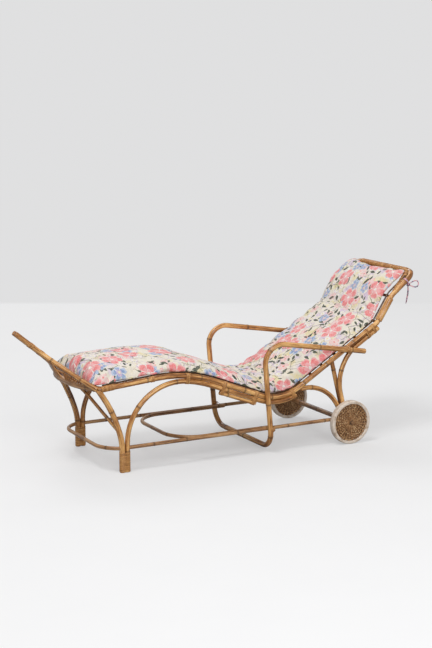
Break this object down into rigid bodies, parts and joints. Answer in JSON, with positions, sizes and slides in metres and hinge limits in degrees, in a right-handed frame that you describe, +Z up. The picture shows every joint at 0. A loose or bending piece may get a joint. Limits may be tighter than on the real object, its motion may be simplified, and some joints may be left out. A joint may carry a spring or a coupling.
{
  "type": "rattan deck chair",
  "caption": "Reclining rattan deck chair with bent pole frame, arms, wishbone handle, two cane-faced wheels and a long floral pad tied at the head",
  "frame": {"origin": "centre of the footprint, on the floor", "axes": "+X along the chair towards the head, +Y to the sitter's right, +Z up"},
  "size_m": [2.0755, 0.6682, 0.8763],
  "materials": {
    "rattan_pole": "varnished rattan pole",
    "cane_binding": "split cane wrapping",
    "woven_cane": "woven cane",
    "disc_wood": "plain plywood",
    "cream_rim": "cream moulded rim",
    "floral_cloth": "printed cotton with a small floral pattern",
    "steel": "drawn steel"
  },
  "bodies": {
    "frame": {"top_rail": "rattan_pole", "axle_pole": "rattan_pole", "arm_hoop": "rattan_pole", "foot_bow": "rattan_pole", "inner_hoop": "rattan_pole", "foot_rail": "rattan_pole", "foot_brace": "rattan_pole", "panel_canes": "woven_cane", "deck_cross_rods": "rattan_pole", "deck_long_canes": "woven_cane", "pad": "floral_cloth", "head_bindings": "cane_binding", "handle_bindings": "cane_binding", "axle_rod": "steel", "axle_washers": "steel", "side_rail_left": "rattan_pole", "rail_sleeve_left": "rattan_pole", "front_arch_left": "rattan_pole", "front_leg_left": "rattan_pole", "seat_stiffener_left": "rattan_pole", "rear_leg_left": "rattan_pole", "rear_arch_left": "rattan_pole", "rear_strut_left": "rattan_pole", "side_stretcher_left": "rattan_pole", "handle_pole_left": "rattan_pole", "side_bindings_left": "cane_binding", "lashings_left": "cane_binding", "axle_cap_left": "steel", "tie_knot_left": "floral_cloth", "tie_loop_left": "floral_cloth", "tie_tail_front_left": "floral_cloth", "tie_tail_rear_left": "floral_cloth", "side_rail_right": "rattan_pole", "rail_sleeve_right": "rattan_pole", "front_arch_right": "rattan_pole", "front_leg_right": "rattan_pole", "seat_stiffener_right": "rattan_pole", "rear_leg_right": "rattan_pole", "rear_arch_right": "rattan_pole", "rear_strut_right": "rattan_pole", "side_stretcher_right": "rattan_pole", "handle_pole_right": "rattan_pole", "side_bindings_right": "cane_binding", "lashings_right": "cane_binding", "axle_cap_right": "steel", "tie_knot_right": "floral_cloth", "tie_loop_right": "floral_cloth", "tie_tail_front_right": "floral_cloth", "tie_tail_rear_right": "floral_cloth"},
    "wheel_left": {"tyre_left": "cream_rim", "wheel_disc_left": "disc_wood", "cane_facing_outer_left": "woven_cane", "cane_facing_inner_left": "woven_cane", "wheel_hub_left": "steel"},
    "wheel_right": {"tyre_right": "cream_rim", "wheel_disc_right": "disc_wood", "cane_facing_outer_right": "woven_cane", "cane_facing_inner_right": "woven_cane", "wheel_hub_right": "steel"}
  },
  "joints": [
    {"name": "wheel_left_spin", "type": "hinge", "parent": "frame", "child": "wheel_left", "pos_m": [0.62271, -0.306, 0.11], "axis": [0, 1, 0], "continuous": true},
    {"name": "wheel_right_spin", "type": "hinge", "parent": "frame", "child": "wheel_right", "pos_m": [0.62271, 0.306, 0.11], "axis": [0, 1, 0], "continuous": true}
  ]
}
